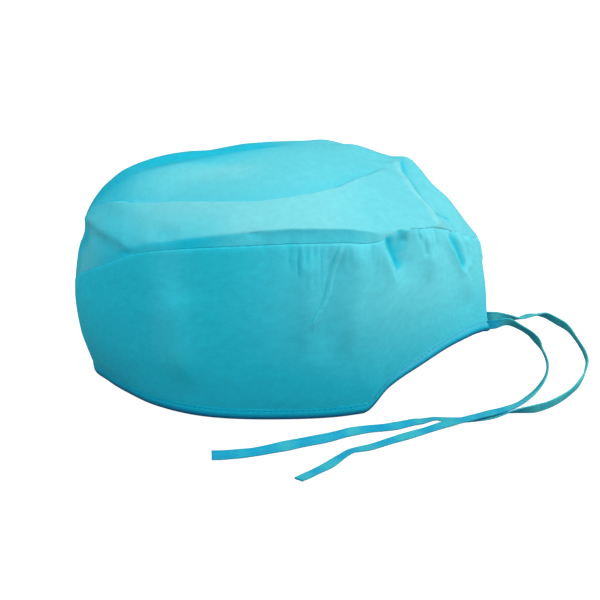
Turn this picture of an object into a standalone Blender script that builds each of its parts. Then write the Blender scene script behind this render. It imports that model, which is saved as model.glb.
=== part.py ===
"""Tie-on surgeon's cap of thin non-woven cloth, standing on its lower edge.

Metres, +Z up. The forehead side is at -X, the nape and its two ties at +X, and the wearer's left
at -Y. The origin is on the surface, under the middle of the cap without its ties.
"""

import math

import bmesh
import bpy
from mathutils import Vector

# Driving dimensions of the cap
CAP_LENGTH = 0.250
CAP_WIDTH = 0.156
CAP_HEIGHT = 0.138
SEAM_HEIGHT = 0.109
NAPE_RISE = 0.032
CLOTH = 0.0012
GAP = 0.0003

# Crown: the upright turn above the seam, and its bulge over the seam
TURN_HEIGHT = 0.010
TURN_BULGE = 0.0030

# Split at the centre back, with the angle in degrees that each of its edges is drawn back over
SPLIT_HEIGHT = 0.016
SPLIT_WIDTH = 0.012
SPLIT_SPREAD = 8.2

# Edge binding: a tape folded round the band's lower edge
BINDING_HEIGHT = 0.0075
BINDING_CLOTH = 0.0008
BINDING_PLAY = 0.0006

# Ties: flat tapes, with a point of their curves this far apart
TIE_WIDTH = 0.0060
TIE_THICKNESS = 0.0016
TIE_STEP = 0.0075

# Fineness of the meshes and of the ties' curves, and the distance within which points are welded
AROUND_STEPS = 88
BAND_STEPS = 7
CROWN_STEPS = 11
TURN_SHARE = 1.0 / CROWN_STEPS
CURVE_STEPS = 16
WELD = 1e-6

# Sections round the cap from the centre front, 0 degrees, to the centre back, 180 degrees.
# The reaches out are shares of half the cap's length and width, hem_up is a share of NAPE_RISE
# and seam_up a share of SEAM_HEIGHT. Both sides share them.
SECTION_COLUMNS = ("around", "hem_out", "belly_out", "seam_out", "hem_up", "seam_up")
SECTIONS = (
    (0, 0.900, 0.975, 0.985, 0.00, 0.56),
    (15, 0.850, 0.965, 0.975, 0.00, 0.64),
    (33, 0.840, 0.965, 0.970, 0.00, 0.76),
    (50, 0.880, 0.980, 0.985, 0.00, 0.88),
    (68, 0.915, 0.995, 0.985, 0.00, 0.95),
    (90, 0.895, 1.000, 0.975, 0.00, 1.00),
    (106, 0.890, 1.000, 0.980, 0.00, 1.00),
    (116, 0.875, 0.985, 0.960, 0.02, 1.00),
    (123, 0.885, 0.965, 0.940, 0.44, 1.00),
    (134, 0.890, 0.930, 0.900, 0.73, 0.99),
    (148, 0.900, 0.900, 0.855, 0.94, 0.94),
    (163, 0.930, 0.905, 0.850, 0.98, 0.87),
    (180, 0.982, 0.965, 0.920, 0.89, 0.79),
)

# Shape of the crown from the seam inwards, by the same angle. A larger fullness keeps the top
# flat for longer, and a larger shoulder rounds the edge off more steeply.
DOME_COLUMNS = ("around", "fullness", "shoulder", "turn")
DOMES = (
    (0, 4.4, 2.3, 0.1),
    (20, 3.8, 2.0, 0.3),
    (40, 2.2, 1.4, 0.7),
    (60, 1.7, 1.1, 0.9),
    (90, 1.8, 1.0, 1.0),
    (120, 1.8, 1.0, 1.0),
    (150, 1.7, 0.9, 0.6),
    (180, 1.8, 0.9, 0.3),
)

# Folds of the crown, each along a line between two places in plan. The places are shares of
# half the cap's length and width, the depths shares of the crown's height above the seam, and
# the widths shares of the cap's width. A positive depth is a ridge and a negative one a valley.
CROWN_FOLD_COLUMNS = ("from_x", "from_y", "to_x", "to_y", "depth", "width")
CROWN_FOLDS = (
    (-0.92, -0.26, -0.20, -0.52, -0.10, 0.060),
    (-0.20, -0.52, 0.52, -0.40, -0.10, 0.060),
    (-0.74, 0.16, -0.20, 0.34, 0.06, 0.060),
    (0.52, -0.30, 0.86, -0.52, 0.14, 0.045),
    (0.66, -0.12, 0.96, -0.34, -0.12, 0.050),
    (0.10, 0.70, 0.70, 0.35, 0.08, 0.070),
    (-0.98, -0.22, -0.80, -0.52, -0.12, 0.050),
    (-0.60, 0.72, 0.00, 0.62, -0.08, 0.060),
)

# How far in from its edge the crown's folds start, as a share of the way to the middle
CROWN_FOLD_START = 0.12

# Upright folds of the band below the seam. Around is in degrees from the centre front through
# the wearer's left, the heights are shares of the band's height there, lean is the change of
# angle from the seam down to the edge, the depth is a share of the cap's width and the width is
# in degrees. A fold fades in above its low end and out below its high end.
BAND_FOLD_COLUMNS = ("around", "low", "high", "lean", "depth", "width")
FOLD_FADE_LOW = 0.25
FOLD_FADE_HIGH = 0.15
BAND_FOLDS = (
    (62, 0.10, 0.80, 0.0, 0.014, 7.0),
    (98, 0.40, 1.00, -4.0, 0.012, 3.0),
    (106, 0.30, 1.00, -8.0, -0.014, 3.5),
    (111, 0.35, 1.05, -8.0, 0.018, 3.0),
    (126, 0.60, 1.05, -3.0, -0.026, 4.0),
    (136, 0.55, 1.05, 2.0, 0.018, 4.0),
    (158, 0.30, 1.05, 5.0, 0.016, 6.0),
    (215, 0.50, 1.05, 3.0, -0.020, 5.0),
    (238, 0.40, 1.05, 2.0, 0.016, 4.5),
    (262, 0.40, 1.00, 0.0, -0.014, 5.0),
    (305, 0.20, 0.90, 0.0, 0.014, 8.0),
)

# Routes of the ties over the surface, chosen by hand: x, y, height of the lower edge, and how far
# the tape leans over, from 0 standing on edge to 1 lying flat.
TIE_LEFT_ROUTE = (
    (0.139, -0.004, 0.0300, 0.0),
    (0.150, 0.004, 0.0200, 0.1),
    (0.157, 0.008, 0.0108, 0.2),
    (0.162, 0.005, 0.0028, 0.3),
    (0.161, -0.010, 0.0, 0.3),
    (0.153, -0.032, 0.0, 0.4),
    (0.144, -0.047, 0.0008, 0.7),
    (0.134, -0.058, 0.0022, 1.0),
    (0.124, -0.065, 0.0022, 1.0),
    (0.115, -0.070, 0.0022, 1.0),
    (0.105, -0.075, 0.0022, 1.0),
    (0.089, -0.083, 0.0010, 1.0),
    (0.074, -0.090, 0.0, 0.9),
    (0.062, -0.098, 0.0, 0.9),
    (0.049, -0.107, 0.0, 0.9),
    (0.037, -0.117, 0.0, 0.9),
    (0.026, -0.130, 0.0, 0.7),
    (0.017, -0.139, 0.0, 0.7),
    (0.009, -0.146, 0.0, 0.7),
)
TIE_RIGHT_ROUTE = (
    (0.138, 0.020, 0.0245, 0.0),
    (0.147, 0.029, 0.0200, 0.0),
    (0.157, 0.042, 0.0170, 0.1),
    (0.167, 0.052, 0.0135, 0.2),
    (0.177, 0.058, 0.0078, 0.2),
    (0.183, 0.054, 0.0045, 0.3),
    (0.187, 0.039, 0.0015, 0.3),
    (0.188, 0.016, 0.0, 0.3),
    (0.184, -0.002, 0.0, 0.3),
    (0.177, -0.022, 0.0, 0.3),
    (0.168, -0.039, 0.0, 0.4),
    (0.158, -0.051, 0.0, 0.6),
    (0.148, -0.058, 0.0, 0.9),
    (0.135, -0.064, 0.0, 1.0),
    (0.121, -0.069, 0.0, 1.0),
    (0.102, -0.073, 0.0, 1.0),
    (0.087, -0.074, 0.0, 1.0),
    (0.075, -0.076, 0.0, 1.0),
    (0.066, -0.081, 0.0, 1.0),
    (0.052, -0.085, 0.0, 0.9),
    (0.038, -0.091, 0.0, 0.7),
    (0.026, -0.099, 0.0, 0.6),
    (0.0, -0.111, 0.0, 0.5),
    (-0.015, -0.117, 0.0, 0.5),
    (-0.029, -0.120, 0.0, 0.5),
    (-0.038, -0.121, 0.0, 0.5),
)

COLOURS = {
    "crown": (0.20, 0.71, 0.79, 1.0),
    "side_band": (0.04, 0.45, 0.55, 1.0),
    "edge_binding": (0.02, 0.32, 0.44, 1.0),
    "tie": (0.04, 0.46, 0.60, 1.0),
}


def table(columns, rows):
    return [dict(zip(columns, row)) for row in rows]


SECTION_ROWS = table(SECTION_COLUMNS, SECTIONS)
DOME_ROWS = table(DOME_COLUMNS, DOMES)
CROWN_FOLD_ROWS = table(CROWN_FOLD_COLUMNS, CROWN_FOLDS)
BAND_FOLD_ROWS = table(BAND_FOLD_COLUMNS, BAND_FOLDS)


def smooth(share):
    share = min(max(share, 0.0), 1.0)
    return share * share * (3.0 - 2.0 * share)


def at_section(rows, around, column):
    """A column's value at an angle in degrees, by a smooth curve that is level at front and back."""
    angle = abs((around + 180.0) % 360.0 - 180.0)
    places = [row["around"] for row in rows]
    values = [row[column] for row in rows]
    last = len(rows) - 1
    index = max(i for i in range(last) if places[i] <= angle + 1e-9)

    def slope(i):
        if i in (0, last):
            return 0.0
        return (values[i + 1] - values[i - 1]) / (places[i + 1] - places[i - 1])

    span = places[index + 1] - places[index]
    t = (angle - places[index]) / span
    start = (2 * t**3 - 3 * t**2 + 1) * values[index] + (t**3 - 2 * t**2 + t) * span * slope(index)
    end = (3 * t**2 - 2 * t**3) * values[index + 1] + (t**3 - t**2) * span * slope(index + 1)
    return start + end


def plan_direction(around):
    angle = math.radians(around)
    return Vector((-math.cos(angle) * CAP_LENGTH / 2, -math.sin(angle) * CAP_WIDTH / 2, 0.0))


def hem_height(around):
    return max(at_section(SECTION_ROWS, around, "hem_up"), 0.0) * NAPE_RISE


def seam_height(around):
    return at_section(SECTION_ROWS, around, "seam_up") * SEAM_HEIGHT


def band_fold_depth(around, up):
    """Sum of the upright folds at a place on the band."""
    depth = 0.0
    for fold in BAND_FOLD_ROWS:
        middle = fold["around"] + fold["lean"] * (1.0 - up)
        across = ((around - middle + 180.0) % 360.0 - 180.0) / fold["width"]
        start = smooth((up - fold["low"]) / FOLD_FADE_LOW)
        along = start * smooth((fold["high"] - up) / FOLD_FADE_HIGH)
        depth += fold["depth"] * CAP_WIDTH * math.exp(-across * across) * along
    return depth


def band_point(around, up):
    """A place on the outside of the band, up being 0 at the lower edge and 1 at the seam."""
    hem = at_section(SECTION_ROWS, around, "hem_out")
    belly = at_section(SECTION_ROWS, around, "belly_out")
    seam = at_section(SECTION_ROWS, around, "seam_out")
    bulge = belly - (hem + seam) / 2
    out = hem + (seam - hem) * up + bulge * 4.0 * up * (1.0 - up)
    direction = plan_direction(around)
    point = direction * out
    point += direction.normalized() * band_fold_depth(around, up)
    low = hem_height(around)
    point.z = low + (seam_height(around) - low) * up
    return point


def up_at(across, height):
    """The share up the band of a height above its lower edge."""
    around = 180.0 + 360.0 * across
    return height / (seam_height(around) - hem_height(around))


def open_split(point, across):
    """Moves the two ends of a strip apart at the centre back, up to the top of the split."""
    near_end = 1.0 if across > 0.5 else -1.0
    ends = max(0.0, 1.0 - min(across, 1.0 - across) * 360.0 / SPLIT_SPREAD)
    opening = max(0.0, 1.0 - (point.z - hem_height(180.0)) / SPLIT_HEIGHT)
    point.y -= near_end * ends * opening * SPLIT_WIDTH / 2
    return point


def band_place(across, up):
    """A place on the band's strip, across being 0 and 1 at its two ends at the centre back."""
    return open_split(band_point(180.0 + 360.0 * across, up), across)


def level_offset(across, up):
    """The level step outwards that leaves the band's leaning wall by one unit, square to it."""
    column = 1.0 / AROUND_STEPS
    along = band_place(min(across + column, 1.0), up) - band_place(max(across - column, 0.0), up)
    upward = band_place(across, up + 0.01) - band_place(across, up)
    normal = along.cross(upward).normalized()
    normal.z = 0.0
    return normal / normal.length_squared


def crown_fold_height(x, y):
    """Sum of the crown's folds at a place in plan."""
    height = 0.0
    for fold in CROWN_FOLD_ROWS:
        start = Vector((fold["from_x"] * CAP_LENGTH, fold["from_y"] * CAP_WIDTH)) / 2
        end = Vector((fold["to_x"] * CAP_LENGTH, fold["to_y"] * CAP_WIDTH)) / 2
        line = end - start
        place = Vector((x, y)) - start
        along = min(max(place.dot(line) / line.length_squared, 0.0), 1.0)
        away = (place - line * along).length / (fold["width"] * CAP_WIDTH)
        depth = fold["depth"] * (CAP_HEIGHT - SEAM_HEIGHT)
        height += depth * math.exp(-away * away)
    return height


def crown_point(around, inward):
    """A place on the outside of the crown, inward being 0 at the seam and 1 at its middle."""
    foot = band_point(around, 1.0)
    turn = at_section(DOME_ROWS, around, "turn")
    if inward <= TURN_SHARE:
        rise = inward / TURN_SHARE
        bulge = TURN_BULGE * turn * math.sin(rise * math.pi / 2)
        point = foot + plan_direction(around).normalized() * bulge
        point.z = foot.z + GAP + TURN_HEIGHT * turn * rise
        return point
    edge = crown_point(around, TURN_SHARE)
    radius = 1.0 - (inward - TURN_SHARE) / (1.0 - TURN_SHARE)
    fullness = 2.0 + (at_section(DOME_ROWS, around, "fullness") - 2.0) * radius
    shoulder = 1.0 + (at_section(DOME_ROWS, around, "shoulder") - 1.0) * radius
    dome = (1.0 - radius**fullness) ** (1.0 / shoulder)
    point = edge * radius
    point.z = edge.z + (CAP_HEIGHT - edge.z) * dome
    point.z += crown_fold_height(point.x, point.y) * smooth((1.0 - radius) / CROWN_FOLD_START)
    return point


def material(name, colour):
    made = bpy.data.materials.new(name)
    made.use_nodes = True
    shader = made.node_tree.nodes["Principled BSDF"]
    shader.inputs["Base Color"].default_value = colour
    shader.inputs["Roughness"].default_value = 0.85
    shader.inputs["Metallic"].default_value = 0.0
    return made


def add_object(name, data, colour, collection):
    made = bpy.data.objects.new(name, data)
    made.data.materials.append(material(name, colour))
    collection.objects.link(made)
    return made


def sheet(name, columns, rows, place, thickness, colour, collection):
    """A grid moved to place(column share, row share), welded and thickened on its inner side."""
    shape = bmesh.new()
    bmesh.ops.create_grid(shape, x_segments=columns, y_segments=rows, size=0.5)
    for vertex in shape.verts:
        vertex.co = place(vertex.co.x + 0.5, vertex.co.y + 0.5)
    bmesh.ops.remove_doubles(shape, verts=shape.verts, dist=WELD)
    shape.normal_update()
    mesh = bpy.data.meshes.new(name)
    shape.to_mesh(mesh)
    shape.free()
    mesh.shade_smooth()
    made = add_object(name, mesh, colour, collection)
    solid = made.modifiers.new("cloth", "SOLIDIFY")
    solid.thickness = thickness
    solid.offset = -1.0
    return made


def make_side_band(collection):
    """One strip round the head, joined at the centre back above the split."""

    def place(across, up):
        edge = up_at(across, BINDING_CLOTH + GAP)
        return band_place(across, edge + (1.0 - edge) * up)

    return sheet("side_band", AROUND_STEPS, BAND_STEPS, place, CLOTH, COLOURS["side_band"], collection)


def make_crown(collection):
    """A puffed sheet whose rings run in from the seam to the middle of the top."""

    def place(across, inward):
        return crown_point(180.0 + 360.0 * across, inward)

    return sheet("crown", AROUND_STEPS, CROWN_STEPS, place, CLOTH, COLOURS["crown"], collection)


def make_edge_binding(collection):
    """A channel round the band's lower edge, with an outer leg, a flat foot and an inner leg."""
    inner = -CLOTH - BINDING_PLAY
    section = (
        (inner - BINDING_CLOTH, BINDING_HEIGHT),
        (inner - BINDING_CLOTH, 0.0),
        (BINDING_PLAY + BINDING_CLOTH, 0.0),
        (BINDING_PLAY + BINDING_CLOTH, BINDING_HEIGHT),
        (BINDING_PLAY, BINDING_HEIGHT),
        (BINDING_PLAY, BINDING_CLOTH),
        (inner, BINDING_CLOTH),
        (inner, BINDING_HEIGHT),
    )
    shape = bmesh.new()
    bmesh.ops.create_grid(shape, x_segments=AROUND_STEPS, y_segments=len(section), size=0.5)
    for vertex in shape.verts:
        across = vertex.co.x + 0.5
        offset, height = section[round((vertex.co.y + 0.5) * len(section)) % len(section)]
        up = up_at(across, height)
        vertex.co = band_place(across, up) + level_offset(across, up) * offset
    bmesh.ops.remove_doubles(shape, verts=shape.verts, dist=WELD)
    bmesh.ops.holes_fill(shape, edges=shape.edges)
    bmesh.ops.recalc_face_normals(shape, faces=shape.faces)
    mesh = bpy.data.meshes.new("edge_binding")
    shape.to_mesh(mesh)
    shape.free()
    return add_object("edge_binding", mesh, COLOURS["edge_binding"], collection)


def route_curve(route, step):
    """Places at even steps along a smooth curve through a route's points."""
    points = [Vector(row) for row in route]
    first = points[0] * 2 - points[1]
    last = points[-1] * 2 - points[-2]
    padded = [first, *points, last]
    fine = []
    for before, start, end, after in zip(padded, padded[1:], padded[2:], padded[3:]):
        for step_number in range(CURVE_STEPS):
            t = step_number / CURVE_STEPS
            fine.append(
                start
                + (end - before) * (0.5 * t)
                + (before * 2 - start * 5 + end * 4 - after) * (0.5 * t * t)
                + (start * 3 - before - end * 3 + after) * (0.5 * t**3)
            )
    fine.append(points[-1])
    reached = [0.0]
    for start, end in zip(fine, fine[1:]):
        reached.append(reached[-1] + (end.xyz - start.xyz).length)
    count = round(reached[-1] / step)
    spaced = []
    index = 0
    for number in range(count + 1):
        wanted = reached[-1] * number / count
        while index < len(fine) - 2 and reached[index + 1] < wanted:
            index += 1
        share = (wanted - reached[index]) / (reached[index + 1] - reached[index])
        spaced.append(fine[index].lerp(fine[index + 1], share))
    return spaced


def make_tie(name, across, route, collection):
    """A flat tape that leaves the binding's end squarely and follows a route at its lower edge."""
    outside = level_offset(across, 0.0) * (BINDING_PLAY + BINDING_CLOTH)
    end = band_place(across, 0.0) + outside
    low = hem_height(180.0) + (BINDING_HEIGHT - TIE_WIDTH) / 2
    root = (end.x + 2 * GAP, end.y, low, 0.0)
    clear = (end.x + TIE_WIDTH / 2, end.y, low, 0.0)
    half = (TIE_WIDTH - TIE_THICKNESS) / 2
    curve = bpy.data.curves.new(name, "CURVE")
    curve.dimensions = "3D"
    curve.twist_mode = "Z_UP"
    curve.extrude = half
    curve.bevel_depth = TIE_THICKNESS / 2
    curve.bevel_resolution = 2
    curve.use_fill_caps = True
    spline = curve.splines.new("POLY")
    places = route_curve((root, clear, *route), TIE_STEP)
    spline.points.add(len(places) - 1)
    for point, place in zip(spline.points, places):
        lean = min(max(place.w, 0.0), 1.0) * math.pi / 2
        centre = max(place.z, 0.0) + half * math.cos(lean) + TIE_THICKNESS / 2
        point.co = (place.x, place.y, centre, 1.0)
        point.tilt = lean
    return add_object(name, curve, COLOURS["tie"], collection)


def make_ties(collection):
    """The two ends of the binding's tape, each from its own side of the split."""
    make_tie("tie_left", 1.0, TIE_LEFT_ROUTE, collection)
    make_tie("tie_right", 0.0, TIE_RIGHT_ROUTE, collection)


def main():
    for old in list(bpy.data.objects):
        bpy.data.objects.remove(old)
    cap = bpy.data.collections.new("surgical_cap")
    bpy.context.scene.collection.children.link(cap)
    make_side_band(cap)
    make_crown(cap)
    make_edge_binding(cap)
    make_ties(cap)


main()
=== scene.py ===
"""Looks of the tie-on surgeon's cap: fine cloth, folds, seams, stitches and ties round its model.

Metres, +Z up, in the model's frame. The forehead side is at -X, the nape and its two ties at +X,
and the wearer's left at -Y.
"""

import math

import bmesh
import bpy
import numpy as np
from mathutils import Matrix, Vector, noise


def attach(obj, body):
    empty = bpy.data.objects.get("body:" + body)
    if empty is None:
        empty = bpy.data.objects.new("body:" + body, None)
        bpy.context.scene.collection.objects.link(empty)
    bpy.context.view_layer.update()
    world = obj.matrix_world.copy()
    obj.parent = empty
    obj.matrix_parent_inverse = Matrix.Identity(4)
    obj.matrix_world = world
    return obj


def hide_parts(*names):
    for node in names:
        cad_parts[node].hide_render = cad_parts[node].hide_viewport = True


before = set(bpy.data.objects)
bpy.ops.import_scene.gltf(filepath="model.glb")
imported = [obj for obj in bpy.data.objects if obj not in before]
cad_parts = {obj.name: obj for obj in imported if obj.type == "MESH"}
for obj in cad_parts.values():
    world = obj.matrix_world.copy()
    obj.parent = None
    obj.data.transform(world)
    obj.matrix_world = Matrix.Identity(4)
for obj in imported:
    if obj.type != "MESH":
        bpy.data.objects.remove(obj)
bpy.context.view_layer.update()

# Camera: it looks down at the cap's left side from a little above, as a product photograph of it
# does, through a long lens that keeps the sides nearly parallel.
CAMERA_DISTANCE = 0.95
CAMERA_ELEVATION = math.radians(21.0)
CAMERA_AIM = Vector((0.01037, 0.01530, 0.03985))
CAMERA_LENS = 93.48

camera = bpy.data.objects.new("camera", bpy.data.cameras.new("camera"))
bpy.context.scene.collection.objects.link(camera)
bpy.context.scene.camera = camera
camera.data.lens = CAMERA_LENS
camera.data.sensor_width = 36.0
camera.data.clip_start = 0.01
camera.rotation_euler = (math.pi / 2 - CAMERA_ELEVATION, 0.0, 0.0)
camera.location = CAMERA_AIM + CAMERA_DISTANCE * Vector(
    (0.0, -math.cos(CAMERA_ELEVATION), math.sin(CAMERA_ELEVATION))
)

# Ties: the two loose ends of the tape that binds the lower edge. The tape is a strip of the cap's
# own non-woven cloth, folded in on itself and sewn flat along its open side, then cut off square.
TIE_WIDTH = 0.0060
TIE_THICKNESS = 0.0011
TIE_STEP = 0.0010
# Colours of the ties' tone, deep to plain to pale: the deep end is painted shade and the pale end painted
# light, mixed with random patches
TIE_DEEP = (0.010, 0.330, 0.520)
TIE_CLOTH = (0.045, 0.420, 0.500)
TIE_PALE = (0.085, 0.500, 0.510)
CAP_LENGTH = 0.250
CAP_WIDTH = 0.156

# Routes over the surface: x, y, height of the lower edge, and how far the tape leans over, 0
# standing on edge and 1 or -1 lying flat. A tie's first point is its binding's end.
TIE_LEFT_ROUTE = (
    (0.1222, -0.0070, 0.0288, 0.0),
    (0.1275, -0.0060, 0.0290, 0.0),
    (0.1350, -0.0012, 0.0290, 0.35),
    (0.1412, 0.0022, 0.0262, 0.6),
    (0.1512, 0.0062, 0.0186, 0.6),
    (0.1572, 0.0060, 0.0100, 0.4),
    (0.1602, -0.0021, 0.0034, 0.1),
    (0.1587, -0.0122, 0.0002, -0.2),
    (0.1525, -0.0287, 0.0, -0.5),
    (0.1437, -0.0438, 0.0, -0.7),
    (0.1346, -0.0562, 0.0012, -0.85),
    (0.1245, -0.0643, 0.0022, -1.0),
    (0.1148, -0.0695, 0.0022, -1.0),
    (0.1051, -0.0750, 0.0022, -1.0),
    (0.0975, -0.0778, 0.0016, -1.0),
    (0.0894, -0.0811, 0.0006, -1.05),
    (0.0812, -0.0856, 0.0, -1.05),
    (0.0738, -0.0904, 0.0, -1.05),
    (0.0615, -0.0983, 0.0, -1.05),
    (0.0493, -0.1062, 0.0, -1.0),
    (0.0419, -0.1098, 0.0, -0.95),
    (0.0375, -0.1127, 0.0, -0.9),
    (0.0324, -0.1187, 0.0, -0.95),
    (0.0256, -0.1280, 0.0, -1.0),
    (0.0170, -0.1371, 0.0, -1.0),
    (0.0096, -0.1447, 0.0, -0.95),
)
TIE_RIGHT_ROUTE = (
    (0.1222, 0.0070, 0.0288, 0.0),
    (0.1278, 0.0080, 0.0282, 0.0),
    (0.1384, 0.0198, 0.0235, 0.45),
    (0.1464, 0.0277, 0.0212, 0.8),
    (0.1565, 0.0409, 0.0190, 0.9),
    (0.1655, 0.0478, 0.0146, 0.5),
    (0.1744, 0.0483, 0.0092, 0.3),
    (0.1807, 0.0449, 0.0056, 0.2),
    (0.1851, 0.0328, 0.0016, 0.2),
    (0.1867, 0.0143, 0.0, 0.05),
    (0.1843, -0.0028, 0.0, -0.15),
    (0.1778, -0.0228, 0.0, -0.15),
    (0.1686, -0.0400, 0.0, -0.2),
    (0.1588, -0.0522, 0.0, -0.2),
    (0.1501, -0.0600, 0.0, -0.15),
    (0.1418, -0.0636, 0.0, -0.25),
    (0.1315, -0.0645, 0.0, -0.6),
    (0.1213, -0.0666, 0.0, -0.95),
    (0.1118, -0.0700, 0.0, -1.0),
    (0.1024, -0.0720, 0.0, -1.0),
    (0.0936, -0.0724, 0.0, -0.95),
    (0.0873, -0.0717, 0.0, -0.85),
    (0.0811, -0.0732, 0.0, -0.95),
    (0.0749, -0.0756, 0.0, -1.1),
    (0.0654, -0.0811, 0.0, -1.2),
    (0.0578, -0.0837, 0.0, -1.2),
    (0.0488, -0.0856, 0.0, -1.2),
    (0.0381, -0.0899, 0.0, -1.25),
    (0.0261, -0.0976, 0.0, -1.35),
    (0.0142, -0.1032, 0.0, -1.4),
    (-0.0003, -0.1097, 0.0, -1.4),
    (-0.0147, -0.1151, 0.0, -1.3),
    (-0.0290, -0.1191, 0.0, -1.4),
    (-0.0372, -0.1198, 0.0, -1.4),
)

# Half of the tape's section, from its folded edge to its sewn edge: share of the width across,
# and share of the thickness out. The open side is pressed thinner by its stitching.
TAPE_SECTION = (
    (-0.50, 0.00), (-0.49, 0.30), (-0.46, 0.46), (-0.40, 0.50), (-0.20, 0.46), (0.00, 0.44),
    (0.18, 0.46), (0.26, 0.40), (0.29, 0.26), (0.32, 0.40), (0.38, 0.48), (0.46, 0.44),
    (0.49, 0.28), (0.50, 0.00),
)


def smooth(share):
    share = np.clip(share, 0.0, 1.0)
    return share * share * (3.0 - 2.0 * share)


def smooth_line(points, step):
    """Places at even steps along a smooth curve through points, of any number of values each."""
    rows = np.array(points, float)
    rows = np.vstack([2 * rows[0] - rows[1], rows, 2 * rows[-1] - rows[-2]])
    shares = np.linspace(0.0, 1.0, 24, endpoint=False)[:, None]
    pieces = []
    for before, start, end, after in zip(rows, rows[1:], rows[2:], rows[3:]):
        pieces.append(
            start
            + (end - before) * (0.5 * shares)
            + (before * 2 - start * 5 + end * 4 - after) * (0.5 * shares**2)
            + (start * 3 - before - end * 3 + after) * (0.5 * shares**3)
        )
    fine = np.vstack([*pieces, rows[-2][None]])
    lengths = np.linalg.norm(np.diff(fine[:, :3], axis=0), axis=1)
    reached = np.concatenate([[0.0], np.cumsum(lengths)])
    wanted = np.linspace(0.0, reached[-1], max(2, round(reached[-1] / step)) + 1)
    return np.stack([np.interp(wanted, reached, column) for column in fine.T], axis=1)


def flat_grid(columns, rows):
    """A grid with a UV map, and each of its corners' shares of the way across and up."""
    shape = bmesh.new()
    shape.loops.layers.uv.new("UVMap")
    bmesh.ops.create_grid(shape, x_segments=columns, y_segments=rows, size=0.5, calc_uvs=True)
    shares = np.array([(vertex.co.x, vertex.co.y) for vertex in shape.verts]) + 0.5
    return shape, np.round(shares[:, 0] * columns) / columns, np.round(shares[:, 1] * rows) / rows


def place_corners(shape, places):
    for vertex, place in zip(shape.verts, places.tolist()):
        vertex.co = place


def scale_pattern(shape, width, height):
    """Lays the UV map out at its real size in metres, so that a pattern keeps its scale."""
    layer = shape.loops.layers.uv.active
    for face in shape.faces:
        for loop in face.loops:
            loop[layer].uv = (loop[layer].uv.x * width, loop[layer].uv.y * height)


def set_tone(shape, tones):
    """Gives each corner its tone, before any corners are joined."""
    layer = shape.verts.layers.float.new("tone")
    for vertex, tone in zip(shape.verts, np.clip(tones, 0.0, 1.0).tolist()):
        vertex[layer] = tone


def lay_pattern(shape, flat_places):
    """Sets the UV map from each corner's place, in metres, on the cloth laid flat."""
    shape.verts.index_update()
    layer = shape.loops.layers.uv.active
    for face in shape.faces:
        for loop in face.loops:
            loop[layer].uv = flat_places[loop.vert.index]


def add_piece(name, shape, finish, replaced=(), body="root"):
    """Links a finished shape as a piece that rides on the cap."""
    mesh = bpy.data.meshes.new(name)
    shape.to_mesh(mesh)
    shape.free()
    mesh.shade_smooth()
    piece = bpy.data.objects.new(name, mesh)
    bpy.context.scene.collection.objects.link(piece)
    piece.data.materials.append(finish)
    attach(piece, body)
    if replaced:
        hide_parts(*replaced)
    return piece


def link_all(tree, *pairs):
    for source, target in pairs:
        tree.links.new(source, target)


def calculation(tree, operation, *values, clamp=False):
    """A Math node whose inputs are numbers or other nodes' outputs."""
    node = tree.nodes.new("ShaderNodeMath")
    node.operation = operation
    node.use_clamp = clamp
    for socket, value in zip(node.inputs, values):
        if isinstance(value, (int, float)):
            socket.default_value = value
        else:
            tree.links.new(value, socket)
    return node.outputs[0]


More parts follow.
